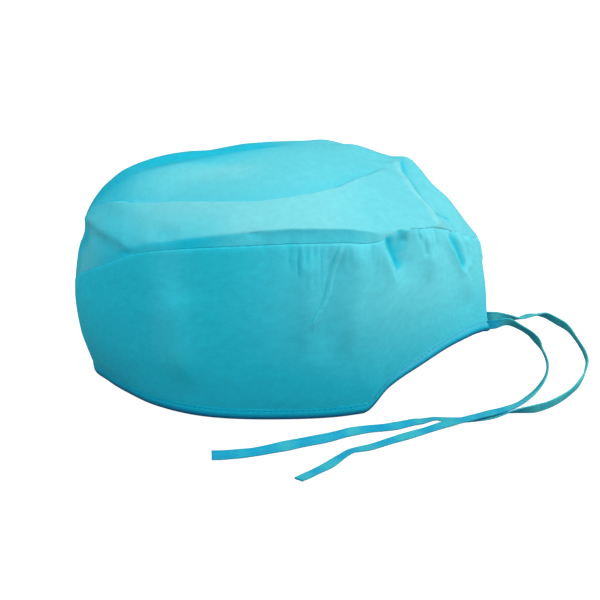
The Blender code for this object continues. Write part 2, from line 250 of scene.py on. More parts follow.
def spunbond_group():
    """Spunbond cloth on a UV map in metres: bond points pressed into a mat of fine filaments."""
    group = bpy.data.node_groups.new("spunbond_cloth", "ShaderNodeTree")
    face = group.interface
    face.new_socket("Place", in_out="INPUT", socket_type="NodeSocketVector")
    for name in ("Pitch", "Bond Depth", "Filament", "Cloud"):
        face.new_socket(name, in_out="INPUT", socket_type="NodeSocketFloat")
    face.new_socket("Shade", in_out="OUTPUT", socket_type="NodeSocketFloat")
    face.new_socket("Height", in_out="OUTPUT", socket_type="NodeSocketFloat")
    start = group.nodes.new("NodeGroupInput")
    end = group.nodes.new("NodeGroupOutput")
    split = group.nodes.new("ShaderNodeSeparateXYZ")
    group.links.new(start.outputs["Place"], split.inputs[0])

    # Bond points in staggered rows
    row = calculation(group, "DIVIDE", split.outputs["Y"], start.outputs["Pitch"])
    odd = calculation(group, "MULTIPLY", calculation(group, "FLOORED_MODULO",
                                                     calculation(group, "FLOOR", row), 2.0), 0.5)
    column = calculation(group, "ADD",
                         calculation(group, "DIVIDE", split.outputs["X"], start.outputs["Pitch"]), odd)
    east = calculation(group, "SUBTRACT", calculation(group, "FRACT", column), 0.5)
    north = calculation(group, "SUBTRACT", calculation(group, "FRACT", row), 0.5)
    reach = calculation(
        group, "SQRT",
        calculation(group, "ADD", calculation(group, "POWER", calculation(group, "ABSOLUTE", east), 2.0),
                    calculation(group, "MULTIPLY", calculation(group, "POWER",
                                                               calculation(group, "ABSOLUTE", north),
                                                               2.0), 2.2)))
    point = group.nodes.new("ShaderNodeMapRange")
    point.interpolation_type = "SMOOTHSTEP"
    point.inputs["From Min"].default_value = 0.18
    point.inputs["From Max"].default_value = 0.34
    group.links.new(reach, point.inputs["Value"])
    bond = point.outputs["Result"]

    # Filaments that lie in every direction, and cloudy thick and thin places
    mats = []
    for angle, stretch in ((0.3, 7.0), (1.4, 6.0), (2.3, 8.0)):
        turn = group.nodes.new("ShaderNodeMapping")
        turn.inputs["Rotation"].default_value = (0.0, 0.0, angle)
        turn.inputs["Scale"].default_value = (260.0, 260.0 * stretch, 260.0)
        strands = group.nodes.new("ShaderNodeTexNoise")
        strands.inputs["Scale"].default_value = 1.0
        strands.inputs["Detail"].default_value = 3.0
        strands.inputs["Distortion"].default_value = 0.6
        link_all(group, (start.outputs["Place"], turn.inputs[0]),
                 (turn.outputs[0], strands.inputs["Vector"]))
        mats.append(strands.outputs[0])
    strand = calculation(group, "MAXIMUM", calculation(group, "MAXIMUM", mats[0], mats[1]), mats[2])
    cloud = group.nodes.new("ShaderNodeTexNoise")
    cloud.inputs["Scale"].default_value = 210.0
    cloud.inputs["Detail"].default_value = 5.0
    cloud.inputs["Roughness"].default_value = 0.62
    group.links.new(start.outputs["Place"], cloud.inputs["Vector"])

    cloudy = calculation(group, "MULTIPLY", calculation(group, "SUBTRACT", cloud.outputs[0], 0.5),
                         start.outputs["Cloud"])
    stranded = calculation(group, "MULTIPLY", calculation(group, "SUBTRACT", strand, 0.6),
                           start.outputs["Filament"])
    bonded = calculation(group, "MULTIPLY", calculation(group, "SUBTRACT", bond, 1.0),
                         start.outputs["Bond Depth"])
    shade = calculation(group, "ADD", calculation(group, "ADD", cloudy, stranded), bonded)
    height = calculation(group, "ADD", calculation(group, "MULTIPLY", strand, 0.35), bond)
    link_all(group, (shade, end.inputs["Shade"]), (height, end.inputs["Height"]))
    return group


SPUNBOND = spunbond_group()


def cloth_finish(name, deep, colour, pale, cloud, bump, roughness=0.78, sheen=0.08):
    """Turquoise spunbond cloth, matt, with a soft bloom at glancing angles.

    The surface's tone picks its colour along a ramp: 0 is deep, for painted shade, 0.5 is plain,
    and 1 is pale, for painted light. On the crown's turn the painted shade also stands where the cloth lies
    double.
    """
    finish = bpy.data.materials.new(name)
    finish.use_nodes = True
    tree = finish.node_tree
    shader = tree.nodes["Principled BSDF"]
    shader.inputs["Roughness"].default_value = roughness
    shader.inputs["Specular IOR Level"].default_value = 0.15
    shader.inputs["Sheen Weight"].default_value = sheen
    shader.inputs["Sheen Roughness"].default_value = 0.45
    shader.inputs["Sheen Tint"].default_value = (0.75, 1.0, 1.0, 1.0)
    pattern = tree.nodes.new("ShaderNodeUVMap")
    pattern.uv_map = "UVMap"
    cloth = tree.nodes.new("ShaderNodeGroup")
    cloth.node_tree = SPUNBOND
    cloth.inputs["Pitch"].default_value = 0.0011
    cloth.inputs["Bond Depth"].default_value = 0.05
    cloth.inputs["Filament"].default_value = 0.30
    cloth.inputs["Cloud"].default_value = cloud
    tone = tree.nodes.new("ShaderNodeAttribute")
    tone.attribute_name = "tone"
    ramp = tree.nodes.new("ShaderNodeValToRGB")
    ramp.color_ramp.elements.new(0.5)
    for stop, shown in zip(ramp.color_ramp.elements, (deep, colour, pale)):
        stop.color = (*shown, 1.0)
    shade = tree.nodes.new("ShaderNodeVectorMath")
    shade.operation = "SCALE"
    relief = tree.nodes.new("ShaderNodeBump")
    relief.inputs["Strength"].default_value = bump
    relief.inputs["Distance"].default_value = 0.0002
    level = calculation(tree, "MULTIPLY_ADD", cloth.outputs["Shade"], 0.52, 1.03)
    link_all(
        tree,
        (pattern.outputs[0], cloth.inputs["Place"]),
        (tone.outputs["Fac"], ramp.inputs[0]),
        (ramp.outputs[0], shade.inputs[0]),
        (level, shade.inputs["Scale"]),
        (shade.outputs[0], shader.inputs["Base Color"]),
        (cloth.outputs["Height"], relief.inputs["Height"]),
        (relief.outputs[0], shader.inputs["Normal"]),
    )
    return finish


def make_tie(name, route):
    """A folded tape along its route, laid about the line through its middle."""
    line = smooth_line(route, TIE_STEP)
    ahead = np.gradient(line[:, :3], axis=0)
    ahead /= np.linalg.norm(ahead, axis=1)[:, None]
    level = np.cross(ahead, (0.0, 0.0, 1.0))
    level /= np.linalg.norm(level, axis=1)[:, None]
    upright = np.cross(level, ahead)
    lean = line[:, 3:4] * math.pi / 2
    wide = upright * np.cos(lean) + level * np.sin(lean)

    thick = np.cross(ahead, wide)
    middle = line[:, :3].copy()
    middle[:, 2] += (TIE_WIDTH / 2 * np.abs(np.cos(lean)) + TIE_THICKNESS / 2)[:, 0]

    section = [*TAPE_SECTION, *((w, -t) for w, t in TAPE_SECTION[-2:0:-1])]
    shape, along, round_share = flat_grid(len(line) - 1, len(section))
    station = np.round(along * (len(line) - 1)).astype(int)
    corner = np.round(round_share * len(section)).astype(int) % len(section)
    profile = np.array(section)
    creep = np.array([noise.noise(Vector(spot) * 90.0) for spot in middle.tolist()])[station]
    width = profile[corner, 0] * TIE_WIDTH * (1.0 + 0.10 * creep)
    out = profile[corner, 1] * TIE_THICKNESS * (1.0 + 0.25 * creep)
    pucker = np.sin(station * TIE_STEP * 2 * math.pi / 0.0028) * 0.00006 * (profile[corner, 0] > 0.2)
    places = middle[station] + wide[station] * width[:, None] + thick[station] * (out + pucker)[:, None]
    place_corners(shape, places)
    # Painted light and shade in the tone: darker at the root by the split and along the stretches forward of
    # the nape, paler where the tape runs out beyond the nape, with random patches from its creep.
    set_tone(shape, 0.5 * smooth((line[station, 0] - 0.122) / 0.02) + 0.5 * smooth(0.5 + creep))
    scale_pattern(shape, len(line) * TIE_STEP, 2 * TIE_WIDTH)
    bmesh.ops.remove_doubles(shape, verts=shape.verts, dist=1e-6)
    bmesh.ops.holes_fill(shape, edges=shape.edges)
    bmesh.ops.recalc_face_normals(shape, faces=shape.faces)
    tie = add_piece(name, shape, TIE_FINISH, [name])
    return tie


TIE_FINISH = cloth_finish("tie_tape", TIE_DEEP, TIE_CLOTH, TIE_PALE, cloud=0.5, bump=0.6)
tie_left = make_tie("tie_left", TIE_LEFT_ROUTE)
tie_right = make_tie("tie_right", TIE_RIGHT_ROUTE)

# Side band: one tall strip of the thin cloth round the head, cut lower at the front and sides and
# raised at the nape, with a short split at the centre back. It bellies out and creases where it
# is gathered to the crown.
SEAM_HEIGHT = 0.109
NAPE_RISE = 0.032
CLOTH = 0.0005
SPLIT_HEIGHT = 0.016
SPLIT_WIDTH = 0.012
SPLIT_SPREAD = 8.2
BAND_COLUMNS = 510
BAND_ROWS = 94
BAND_FLAT_LENGTH = 0.64
CROWDING = 1.3
# Colours of the band's tone: painted shade, plain cloth and painted light
BAND_PAINTED_SHADE = (0.008, 0.460, 0.640)
BAND_CLOTH = (0.023, 0.565, 0.710)
BAND_PAINTED_LIGHT = (0.185, 0.690, 0.790)

# Sections round the cap from the centre front, 0 degrees, to the centre back, 180 degrees. The
# reaches out are shares of half the cap's length and width, hem_up is a share of the nape's rise
# and seam_up a share of the seam's height. Both sides share them.
SECTION_COLUMNS = ("around", "hem_out", "belly_out", "seam_out", "hem_up", "seam_up")
SECTIONS = (
    (0, 0.900, 0.975, 0.985, 0.00, 0.56),
    (15, 0.850, 0.965, 0.975, 0.00, 0.64),
    (33, 0.840, 0.965, 0.970, 0.00, 0.76),
    (50, 0.880, 0.980, 0.985, 0.00, 0.88),
    (68, 0.915, 0.995, 0.985, 0.00, 0.945),
    (90, 0.895, 1.000, 0.975, 0.00, 0.980),
    (106, 0.890, 1.000, 0.980, 0.00, 0.980),
    (116, 0.875, 0.985, 0.960, 0.02, 0.965),
    (123, 0.885, 0.965, 0.940, 0.44, 1.00),
    (134, 0.890, 0.930, 0.900, 0.73, 0.99),
    (148, 0.900, 0.900, 0.855, 0.94, 0.94),
    (163, 0.930, 0.905, 0.850, 0.98, 0.87),
    (180, 0.982, 0.965, 0.920, 0.89, 0.79),
)

# Broad upright folds below the seam: angle, low and high end as shares of the band's height, change
# of angle down to the edge, depth as a share of the cap's width, and width in degrees
BAND_FOLD_COLUMNS = ("around", "low", "high", "lean", "depth", "width")
BAND_FOLDS = (
    (62, 0.10, 0.80, 0.0, 0.014, 7.0),
    (98, 0.40, 1.00, -4.0, 0.012, 3.0),
    (106, 0.30, 1.00, -8.0, -0.014, 3.5),
    (111, 0.35, 1.05, -8.0, 0.018, 3.0),
    (126, 0.60, 1.05, -3.0, -0.026, 4.0),
    (136, 0.55, 1.05, 2.0, 0.018, 4.0),
    (158, 0.30, 1.05, 5.0, 0.016, 6.0),
    (215, 0.50, 1.05, 3.0, -0.020, 5.0),
    (238, 0.40, 1.05, 2.0, 0.016, 4.5),
    (262, 0.40, 1.00, 0.0, -0.014, 5.0),
    (305, 0.20, 0.90, 0.0, 0.014, 8.0),
)


def table(columns, rows):
    return [dict(zip(columns, row)) for row in rows]


def at_section(rows, around, column):
    """A column's value at angles in degrees, by a smooth curve that is level at front and back."""
    angle = np.abs((around + 180.0) % 360.0 - 180.0)
    places = np.array([row["around"] for row in rows], float)
    values = np.array([row[column] for row in rows], float)
    slopes = np.zeros(len(rows))
    slopes[1:-1] = (values[2:] - values[:-2]) / (places[2:] - places[:-2])
    index = np.clip(np.searchsorted(places, angle, side="right") - 1, 0, len(rows) - 2)
    span = places[index + 1] - places[index]
    t = (angle - places[index]) / span
    start = (2 * t**3 - 3 * t**2 + 1) * values[index] + (t**3 - 2 * t**2 + t) * span * slopes[index]
    end = (3 * t**2 - 2 * t**3) * values[index + 1] + (t**3 - t**2) * span * slopes[index + 1]
    return start + end


SECTION_ROWS = table(SECTION_COLUMNS, SECTIONS)


def plan_direction(around):
    angle = np.radians(around)
    x = -np.cos(angle) * CAP_LENGTH / 2
    return np.stack([x, -np.sin(angle) * CAP_WIDTH / 2, np.zeros_like(x)], axis=-1)


def unit(vectors):
    return vectors / np.linalg.norm(vectors, axis=-1, keepdims=True)


def hem_height(around):
    return np.maximum(at_section(SECTION_ROWS, around, "hem_up"), 0.0) * NAPE_RISE


def seam_height(around):
    return at_section(SECTION_ROWS, around, "seam_up") * SEAM_HEIGHT


def band_fold_depth(around, up):
    """Sum of the broad upright folds at places on the band."""
    depth = np.zeros_like(around)
    for fold in table(BAND_FOLD_COLUMNS, BAND_FOLDS):
        middle = fold["around"] + fold["lean"] * (1.0 - up)
        across = ((around - middle + 180.0) % 360.0 - 180.0) / fold["width"]
        along = smooth((up - fold["low"]) / 0.25) * smooth((fold["high"] - up) / 0.15)
        depth += fold["depth"] * CAP_WIDTH * np.exp(-across * across) * along
    return depth


def band_point(around, up):
    """Places on the outside of the band, up being 0 at the lower edge and 1 at the seam."""
    hem = at_section(SECTION_ROWS, around, "hem_out")
    belly = at_section(SECTION_ROWS, around, "belly_out")
    seam = at_section(SECTION_ROWS, around, "seam_out")
    bulge = belly - (hem + seam) / 2
    out = hem + (seam - hem) * up + bulge * 4.0 * up * (1.0 - up)
    direction = plan_direction(around)
    point = direction * out[..., None] + unit(direction) * band_fold_depth(around, up)[..., None]
    low = hem_height(around)
    point[..., 2] = low + (seam_height(around) - low) * up
    return point


def band_place(across, up):
    """Places on the band's strip, across being 0 and 1 at its two ends at the centre back."""
    point = band_point(180.0 + 360.0 * across, up)
    ends = np.maximum(0.0, 1.0 - np.minimum(across, 1.0 - across) * 360.0 / SPLIT_SPREAD)
    rise = point[..., 2] - hem_height(np.array(180.0))
    opening = np.maximum(0.0, 1.0 - rise / SPLIT_HEIGHT)
    point[..., 1] -= np.where(across > 0.5, 1.0, -1.0) * ends * opening * SPLIT_WIDTH / 2
    return point


def facing(place, across, up):
    """Outward unit normals of a surface at places on it, by small steps along and up it."""
    step = 1e-3
    left, right = np.maximum(across - step, 0.0), np.minimum(across + step, 1.0)
    low, high = np.maximum(up - step, 0.0), np.minimum(up + step, 1.0)
    along = place(right, up) - place(left, up)
    upward = place(across, high) - place(across, low)
    return unit(np.cross(along, upward))


# Creases: points on the surface, depth and widths to each side in millimetres, sharpness from 0
# soft to 1 sharp, and how much of its length fades out at each end. A negative depth is a valley.
CREASE_COLUMNS = ("depth", "left", "right", "sharp", "fade", "points")


def crease_heights(places, normals, creases, on_surface):
    """Sum of the creases' heights, in metres, at places on a surface with these normals."""
    height = np.zeros(len(places))
    for crease in table(CREASE_COLUMNS, creases):
        line = smooth_line([on_surface(*point) for point in crease["points"]], 0.0025)
        reach = max(crease["left"], crease["right"]) / 1000
        near = ((places > line.min(axis=0) - reach) & (places < line.max(axis=0) + reach)).all(axis=1)
        spots, facings = places[near], normals[near]
        closest = np.full(len(spots), np.inf)
        side = np.zeros(len(spots))
        share = np.zeros(len(spots))
        for number, (start, end) in enumerate(zip(line, line[1:])):
            run = end - start
            along = np.clip((spots - start) @ run / (run @ run), 0.0, 1.0)
            offset = spots - start - along[:, None] * run
            distance = np.linalg.norm(offset, axis=1)
            nearer = distance < closest
            closest = np.where(nearer, distance, closest)
            turned = np.einsum("ij,ij->i", np.cross(facings, run), offset)
            side = np.where(nearer, turned, side)
            share = np.where(nearer, (number + along) / (len(line) - 1), share)
        width = np.where(side > 0, crease["left"], crease["right"]) / 1000
        away = np.clip(closest / width, 0.0, 1.0)
        soft = (1.0 - away * away) ** 2
        sharp = (1.0 - away) ** 2
        ends = np.minimum(share, 1.0 - share) / max(crease["fade"], 1e-3)
        profile = crease["sharp"] * sharp + (1.0 - crease["sharp"]) * soft
        height[near] += crease["depth"] / 1000 * profile * smooth(ends)
    return height


def lattice_normals(lattice):
    """Outward unit normals of a closed strip of corners, rows up and columns along it."""
    upward = np.gradient(lattice, axis=0)
    along = np.gradient(lattice, axis=1)
    along[:, 0] = along[:, -1] = lattice[:, 1] - lattice[:, -2]
    normals = np.cross(along, upward)
    return normals / np.maximum(np.linalg.norm(normals, axis=2, keepdims=True), 1e-12)


def crumple(places, scale, seed):
    """Fine irregular creases of handled cloth, from -1 to 1, at a scale of so many to the metre."""
    noise.seed_set(5)
    shift = Vector((seed, seed * 0.37, -seed * 0.71))
    found = []
    for spot in (places * scale).tolist():
        spot = Vector(spot) + shift
        warped = spot + noise.noise_vector(spot * 0.5) * 0.9
        found.append(1.0 - 2.6 * abs(noise.noise(warped)) + 0.35 * noise.noise(spot * 2.3))
    return np.array(found)


LONG_PLEAT = ((106.0, 1.0), (104.6, 0.93), (102.9, 0.83), (101.2, 0.70), (98.8, 0.61), (97.2, 0.54))
PLEAT_FOOT = tuple((around - 0.55, up) for around, up in LONG_PLEAT)
BAND_CREASES = (
    # Long pleat that slants forward under the overhang
    (1.9, 2.6, 1.2, 0.7, 0.12, LONG_PLEAT),
    (-0.5, 1.2, 2.4, 0.8, 0.15, PLEAT_FOOT),
    # Small gathers beside it
    (-0.9, 1.2, 1.8, 0.8, 0.4, ((92.4, 1.02), (92.3, 0.84))),
    (-1.1, 1.2, 1.8, 0.8, 0.4, ((94.7, 1.02), (94.5, 0.80))),
    (0.7, 1.2, 1.2, 0.6, 0.4, ((95.6, 1.02), (95.2, 0.80))),
    (-1.2, 1.2, 1.8, 0.8, 0.35, ((96.8, 1.02), (96.3, 0.72))),
    (0.7, 1.2, 1.2, 0.6, 0.4, ((97.7, 1.02), (97.2, 0.76))),
    (-1.2, 1.2, 1.8, 0.8, 0.35, ((98.7, 1.02), (98.3, 0.74))),
    (0.7, 1.2, 1.2, 0.6, 0.4, ((99.5, 1.02), (99.0, 0.76))),
    (-1.2, 1.2, 1.8, 0.8, 0.35, ((100.5, 1.02), (99.9, 0.74))),
    (-0.8, 1.4, 2.0, 0.8, 0.4, ((102.6, 1.02), (102.0, 0.88))),
    (-0.9, 1.4, 2.0, 0.8, 0.4, ((108.0, 1.02), (107.4, 0.84))),
    (-1.2, 1.6, 2.4, 0.8, 0.4, ((112.0, 1.02), (110.2, 0.84))),
    (-1.1, 1.6, 2.4, 0.8, 0.4, ((115.0, 1.02), (113.5, 0.85))),
    (0.9, 1.8, 1.8, 0.6, 0.4, ((116.8, 1.02), (115.6, 0.83))),
    # Dent like a V, its pocket and the ridge before it
    (-1.9, 9.0, 3.0, 0.5, 0.25, ((118.6, 1.03), (119.9, 0.93), (123.4, 0.80), (124.6, 0.74))),
    (1.1, 2.0, 6.0, 0.6, 0.3, ((117.2, 0.99), (118.8, 0.88), (121.0, 0.76), (122.4, 0.66))),
    (-0.5, 2.8, 3.2, 0.4, 0.3, ((125.0, 0.95), (126.6, 0.93), (128.4, 0.92))),
    # Small tucks towards the back
    (-1.2, 2.0, 2.5, 0.8, 0.3, ((131.8, 1.02), (132.0, 0.97), (132.4, 0.90))),
    (-1.0, 2.0, 3.0, 0.8, 0.3, ((133.4, 0.93), (133.8, 0.88), (133.8, 0.80))),
    (-0.9, 2.5, 3.0, 0.7, 0.3, ((137.8, 1.02), (137.3, 0.90), (137.4, 0.78))),
    (-0.9, 2.5, 3.0, 0.7, 0.3, ((143.0, 1.02), (142.6, 0.92), (143.4, 0.82))),
    # Fold like a lens at the back, between two ridges
    (-1.7, 6.0, 4.5, 0.3, 0.2, ((152.2, 0.99), (154.8, 0.89), (157.4, 0.77), (160.2, 0.63))),
    (1.3, 2.0, 6.0, 0.8, 0.2, ((147.5, 1.0), (149.8, 0.91), (153.8, 0.79), (157.4, 0.65), (161.0, 0.58))),
    (1.8, 6.0, 3.0, 0.5, 0.2, ((166.8, 1.0), (166.8, 0.89), (165.8, 0.76), (162.4, 0.62))),
    # Same kinds of gather on the far side and at the front
    (1.2, 2.5, 4.5, 0.7, 0.2, ((238.0, 1.0), (240.0, 0.86), (243.0, 0.62))),
    (-1.4, 3.0, 3.0, 0.7, 0.3, ((231.0, 1.02), (230.0, 0.85))),
    (-2.6, 5.0, 8.0, 0.5, 0.2, ((221.0, 1.03), (219.0, 0.90), (216.0, 0.74))),
    (-1.0, 2.5, 2.5, 0.8, 0.4, ((247.0, 1.02), (248.5, 0.82))),
    (-0.8, 2.0, 3.0, 0.8, 0.4, ((254.0, 1.02), (255.0, 0.84))),
    (-1.0, 2.5, 2.5, 0.8, 0.4, ((262.0, 1.02), (264.0, 0.74))),
    (1.2, 3.0, 5.0, 0.6, 0.3, ((286.0, 1.02), (283.0, 0.70))),
    (-1.2, 3.0, 4.0, 0.6, 0.3, ((301.0, 1.02), (303.0, 0.78))),
    (-1.0, 3.0, 4.0, 0.6, 0.4, ((322.0, 1.02), (321.0, 0.72))),
    (-1.0, 3.0, 4.0, 0.6, 0.4, ((343.0, 1.02), (344.0, 0.70))),
    (1.0, 4.0, 4.0, 0.5, 0.4, ((12.0, 1.02), (11.0, 0.66))),
    (-1.0, 3.0, 4.0, 0.6, 0.4, ((25.0, 1.02), (26.0, 0.75))),
    (-1.6, 4.0, 5.0, 0.6, 0.3, ((186.0, 1.02), (187.0, 0.74))),
    (1.4, 4.0, 4.0, 0.6, 0.3, ((178.0, 1.02), (177.0, 0.70))),
    (-1.4, 4.0, 4.0, 0.6, 0.3, ((200.0, 1.02), (198.0, 0.66))),
    # Soft upright swell towards the forehead
    (1.6, 15.0, 15.0, 0.0, 0.3, ((57.0, 0.97), (59.5, 0.71), (61.0, 0.42), (62.5, 0.18))),
)

# Painted light and shade along lines in the same columns: painted highlights on ridges, painted shade in
# valleys
BAND_PAINTED_SHADING = (
    (0.45, 2.2, 0.9, 0.5, 0.15, LONG_PLEAT),
    (-0.12, 0.8, 1.6, 0.5, 0.15, PLEAT_FOOT),
    (-0.20, 1.0, 1.0, 0.4, 0.4, ((94.7, 1.02), (94.5, 0.80))),
    (-0.22, 1.0, 1.0, 0.4, 0.4, ((96.8, 1.02), (96.3, 0.72))),
    (-0.22, 1.0, 1.0, 0.4, 0.4, ((98.7, 1.02), (98.3, 0.74))),
    (-0.22, 1.0, 1.0, 0.4, 0.4, ((100.5, 1.02), (99.9, 0.74))),
    (0.20, 0.9, 0.9, 0.4, 0.4, ((97.7, 1.02), (97.2, 0.76))),
    (0.20, 0.9, 0.9, 0.4, 0.4, ((99.5, 1.02), (99.0, 0.76))),
    # Inside the dent
    (-0.42, 8.0, 2.4, 0.2, 0.10, ((118.6, 1.05), (119.8, 0.93), (122.2, 0.83), (123.8, 0.75))),
    (-0.28, 7.0, 6.0, 0.1, 0.2, ((125.4, 1.08), (125.2, 0.95), (124.4, 0.84))),
    (0.30, 1.2, 1.2, 0.4, 0.3, ((130.4, 1.02), (130.4, 0.93))),
    (-0.25, 1.4, 1.4, 0.4, 0.3, ((132.0, 1.02), (132.4, 0.90))),
    # Lens fold
    (-0.30, 7.0, 6.0, 0.1, 0.25, ((152.2, 0.99), (154.8, 0.89), (157.4, 0.77), (160.2, 0.63))),
)


# Seam: the band's and the crown's edges are turned in and sewn together, which draws both in to a
# narrow groove and puckers them.
SEAM_DIP = 0.0004
SEAM_DIP_WIDTH = 0.0014
PUCKER_REACH = 0.0065
PUCKER_HEIGHT = 0.00030


def seam_puckers(around):
    """Heights of the puckers along the seam, tighter towards the back where the cloth is gathered."""
    place = np.radians(around)
    gathered = 0.35 + 0.65 * smooth((np.abs((around + 180.0) % 360.0 - 180.0) - 75.0) / 25.0)
    drift = 3.1 * np.sin(place * 5.0) + 2.3 * np.sin(place * 13.0 + 0.8)
    wave = np.sin(place * 71.0 + drift) + 0.7 * np.sin(place * 43.0 - drift + 1.7)
    return PUCKER_HEIGHT * gathered * wave * (1.0 + 0.6 * np.sin(place * 9.0 + 0.4))


def crowd(across):
    """Shares of the way round that lie closer together where the cloth is gathered."""
    shares = np.linspace(0.0, 1.0, 1441)
    angle = np.abs((shares * 360.0 + 360.0) % 360.0 - 180.0)
    angle = 180.0 - angle
    density = 1.0 + CROWDING * smooth((angle - 10.0) / 12.0) * smooth((95.0 - angle) / 12.0)
    reached = np.concatenate([[0.0], np.cumsum((density[1:] + density[:-1]) / 2)])
    return np.interp(across, reached / reached[-1], shares)


def on_band(around, up):
    return band_place(np.array([((around - 180.0) % 360.0) / 360.0]), np.array([up]))[0]


def band_surface(across, up):
    """Places on the finished band, with its creases, crumples, seam groove and puckers."""
    places = band_place(across, up)
    normals = facing(band_place, across, up)

    height = crease_heights(places, normals, BAND_CREASES, on_band)
    height += crumple(places, 38.0, 3.0) * 0.00018 * smooth(up / 0.1)
    below = (1.0 - up) * SEAM_HEIGHT
    height -= SEAM_DIP * np.exp(-((below / SEAM_DIP_WIDTH) ** 2))
    height += seam_puckers(180.0 + 360.0 * across) * np.exp(-below / PUCKER_REACH)
    return places + normals * height[:, None], height


def make_side_band():
    shape, across, up = flat_grid(BAND_COLUMNS, BAND_ROWS)
    across = crowd(across)
    places, height = band_surface(across, up)
    place_corners(shape, places)
    x, y, z = places.T
    # Painted light and shade in the tone: lighter towards the nape and up the band, a painted highlight down
    # the soft swell near the forehead, and painted shade in the crease hollows and towards the lower edge,
    # with painted highlights on ridges and painted shade in valleys from the table of lines.
    band_painted_light = smooth((x + 0.045) / 0.135) * (0.35 + 0.65 * smooth((z - 0.030) / 0.050))
    band_painted_light += 0.16 * np.exp(-(((360.0 * across - 240.0) / 6.0) ** 2))
    tone = 0.5 + 0.5 * band_painted_light - 0.35 * smooth(-height / 0.0025) - 0.18 * smooth((0.045 - z) / 0.045)
    normals = facing(band_place, across, up)
    set_tone(shape, tone + 1000 * crease_heights(places, normals, BAND_PAINTED_SHADING, on_band))
    lay_pattern(shape, np.stack([across * BAND_FLAT_LENGTH, up * SEAM_HEIGHT], axis=1))
    bmesh.ops.remove_doubles(shape, verts=shape.verts, dist=2e-5)
    shape.normal_update()
    finish = cloth_finish("band_cloth", BAND_PAINTED_SHADE, BAND_CLOTH, BAND_PAINTED_LIGHT, cloud=0.6, bump=0.5)
    band = add_piece("side_band", shape, finish, ["side_band"])
    wall = band.modifiers.new("wall", "SOLIDIFY")
    wall.thickness = CLOTH
    wall.offset = -1.0
    return band


side_band = make_side_band()

# Crown: a puffed round of the same cloth, cut larger than the opening that it closes and eased
# into the seam, so that it stands up over the seam in a soft turn and lies over the top in facets.
CAP_HEIGHT = 0.138
TURN_HEIGHT = 0.0080
TURN_BULGE = -0.0024
TURN_SHARE = 1.0 / 11
CROWN_FOLD_START = 0.12
CROWN_ROUNDING = 30
CROWN_COLUMNS = 400
CROWN_ROWS = 121
# Colours of the crown's tone: painted shade, plain cloth and painted light
CROWN_PAINTED_SHADE = (0.010, 0.480, 0.630)
CROWN_CLOTH = (0.130, 0.580, 0.670)
CROWN_PAINTED_LIGHT = (0.250, 0.640, 0.690)

# Shape of the crown from the seam inwards, by the same angle. A larger fullness keeps the top
# flat for longer, and a larger shoulder rounds the edge off more steeply. Soft is how far the
# crease at the top of the turn is rounded away, and the last column is how much painted shade
# darkens the turn, where the cloth also lies double over the seam.
DOME_COLUMNS = ("around", "fullness", "shoulder", "turn", "soft", "painted_turn_shade")
DOMES = (
    (0, 4.4, 2.3, 0.1, 1.0, 0.0),
    (20, 3.8, 2.0, 0.2, 1.0, 0.0),
    (40, 2.2, 1.4, 0.4, 1.0, 0.1),
    (60, 1.7, 1.1, 0.6, 1.0, 0.5),
    (75, 1.75, 1.05, 0.85, 0.8, 0.8),
    (90, 1.8, 1.0, 1.0, 0.12, 1.0),
    (106, 1.8, 1.0, 0.95, 0.15, 0.85),
    (114, 1.8, 1.0, 0.80, 0.3, 0.4),
    (122, 1.8, 1.0, 0.10, 0.9, 0.0),
    (150, 1.85, 0.97, 0.05, 1.0, 0.0),
    (180, 1.95, 1.0, 0.05, 1.0, 0.0),
)

# Broad folds of the crown, each between two places in plan. The places are shares of half the
# cap's length and width, depths shares of the crown's rise, and widths shares of the cap's width.
CROWN_FOLD_COLUMNS = ("from_x", "from_y", "to_x", "to_y", "depth", "width")
CROWN_FOLDS = (
    (-0.74, 0.16, -0.20, 0.34, 0.06, 0.060),
    (0.24, 0.68, 0.58, 0.45, 0.175, 0.105),
    (-0.45, 0.42, 0.02, 0.56, 0.028, 0.110),
    (-0.60, 0.72, 0.00, 0.62, -0.08, 0.060),
    (-0.05, 0.50, 0.35, 0.50, 0.050, 0.110),
    (0.62, 0.34, 0.82, -0.02, 0.160, 0.085),
    (0.62, 0.40, 0.78, 0.16, 0.165, 0.065),
)
LONG_FOLD = ((-0.86, -0.17), (-0.685, -0.37), (-0.545, -0.45), (-0.40, -0.555), (-0.25, -0.64),
             (-0.09, -0.68), (0.04, -0.66), (0.171, -0.59), (0.262, -0.47), (0.33, -0.34),
             (0.402, -0.13), (0.46, 0.08), (0.50, 0.24))
FAR_EDGE = ((-0.84, -0.12), (-0.61, -0.16), (-0.37, -0.12), (-0.15, 0.02), (0.08, 0.16), (0.27, 0.39))
BACK_RIDGE = ((0.53, 0.36), (0.545, 0.296), (0.573, 0.114), (0.602, -0.079), (0.637, -0.162),
              (0.675, -0.249), (0.695, -0.372), (0.716, -0.452), (0.746, -0.411, 0.73))
BACK_VALLEY = ((0.56, 0.36), (0.567, 0.275), (0.606, 0.08), (0.646, -0.102), (0.678, -0.182),
               (0.75, -0.17), (0.801, -0.143, 0.73))
